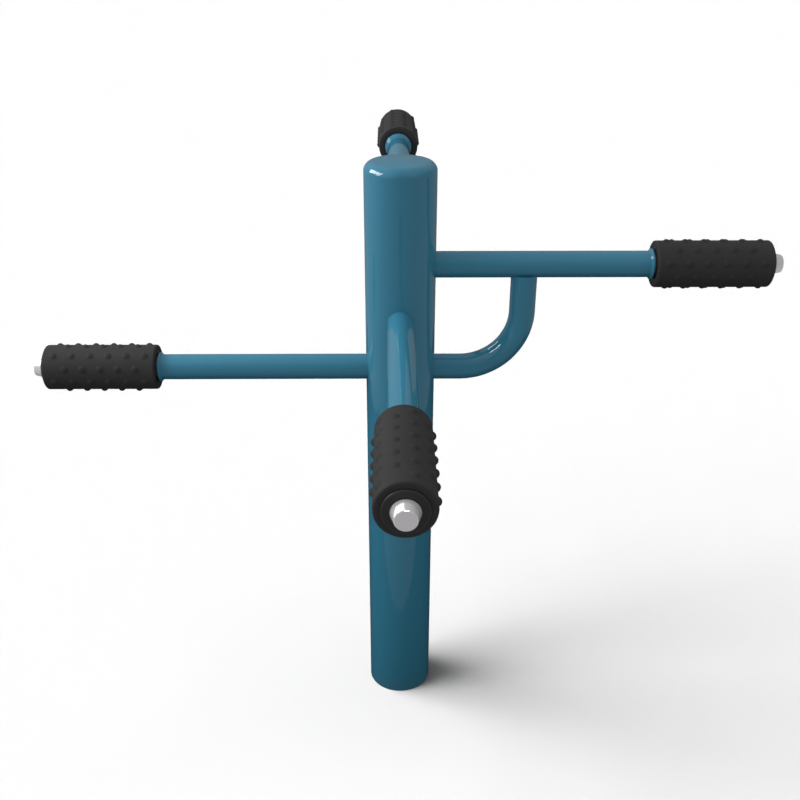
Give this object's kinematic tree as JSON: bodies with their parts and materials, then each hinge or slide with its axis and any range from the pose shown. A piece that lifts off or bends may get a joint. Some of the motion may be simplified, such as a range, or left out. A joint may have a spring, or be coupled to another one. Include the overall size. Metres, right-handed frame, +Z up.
{
  "type": "outdoor leg exercise post",
  "caption": "Round steel post with horizontal arms at stepped heights, each ending in a free-turning studded rubber roller, and a bent tube brace under one arm.",
  "frame": {"origin": "on the post's axis at ground level, the centre of the bounding box's bottom face", "axes": "+Z up along the post, -Y along the front arm, +X along the braced right arm, +Y along the rear arm, -X along the left arm"},
  "size_m": [1.2234, 1.2234, 1.0168],
  "materials": {
    "paint": "gloss teal-blue powder coat",
    "rubber": "satin moulded rubber",
    "plastic": "matte black",
    "stainless": "fine turned",
    "steel": "zinc plated"
  },
  "bodies": {
    "frame": {"post_tube": "paint", "post_cap": "paint", "anchor_sleeve": "steel", "set_screws": "steel", "right_brace": "paint", "front_arm": "paint", "front_end_plug": "paint", "front_spindle": "steel", "front_inner_washer": "steel", "front_outer_washer": "steel", "front_security_nut": "stainless", "right_arm": "paint", "right_end_plug": "paint", "right_spindle": "steel", "right_inner_washer": "steel", "right_outer_washer": "steel", "right_security_nut": "stainless", "rear_arm": "paint", "rear_end_plug": "paint", "rear_spindle": "steel", "rear_inner_washer": "steel", "rear_outer_washer": "steel", "rear_security_nut": "stainless", "left_arm": "paint", "left_end_plug": "paint", "left_spindle": "steel", "left_inner_washer": "steel", "left_outer_washer": "steel", "left_security_nut": "stainless"},
    "front_roller": {"front_core": "plastic", "front_inner_bush": "plastic", "front_outer_bush": "plastic", "front_tread": "rubber", "front_end_disc": "plastic"},
    "right_roller": {"right_core": "plastic", "right_inner_bush": "plastic", "right_outer_bush": "plastic", "right_tread": "rubber", "right_end_disc": "plastic"},
    "rear_roller": {"rear_core": "plastic", "rear_inner_bush": "plastic", "rear_outer_bush": "plastic", "rear_tread": "rubber", "rear_end_disc": "plastic"},
    "left_roller": {"left_core": "plastic", "left_inner_bush": "plastic", "left_outer_bush": "plastic", "left_tread": "rubber", "left_end_disc": "plastic"}
  },
  "joints": [
    {"name": "front_roller_spin", "type": "hinge", "parent": "frame", "child": "front_roller", "pos_m": [0, -0.4985, 0.769], "axis": [0, -1, 0], "continuous": true},
    {"name": "right_roller_spin", "type": "hinge", "parent": "frame", "child": "right_roller", "pos_m": [0.4985, 0, 0.8495], "axis": [1, 0, 0], "continuous": true},
    {"name": "rear_roller_spin", "type": "hinge", "parent": "frame", "child": "rear_roller", "pos_m": [0, 0.4985, 0.949], "axis": [0, 1, 0], "continuous": true},
    {"name": "left_roller_spin", "type": "hinge", "parent": "frame", "child": "left_roller", "pos_m": [-0.4985, 0, 0.67], "axis": [-1, 0, 0], "continuous": true}
  ]
}
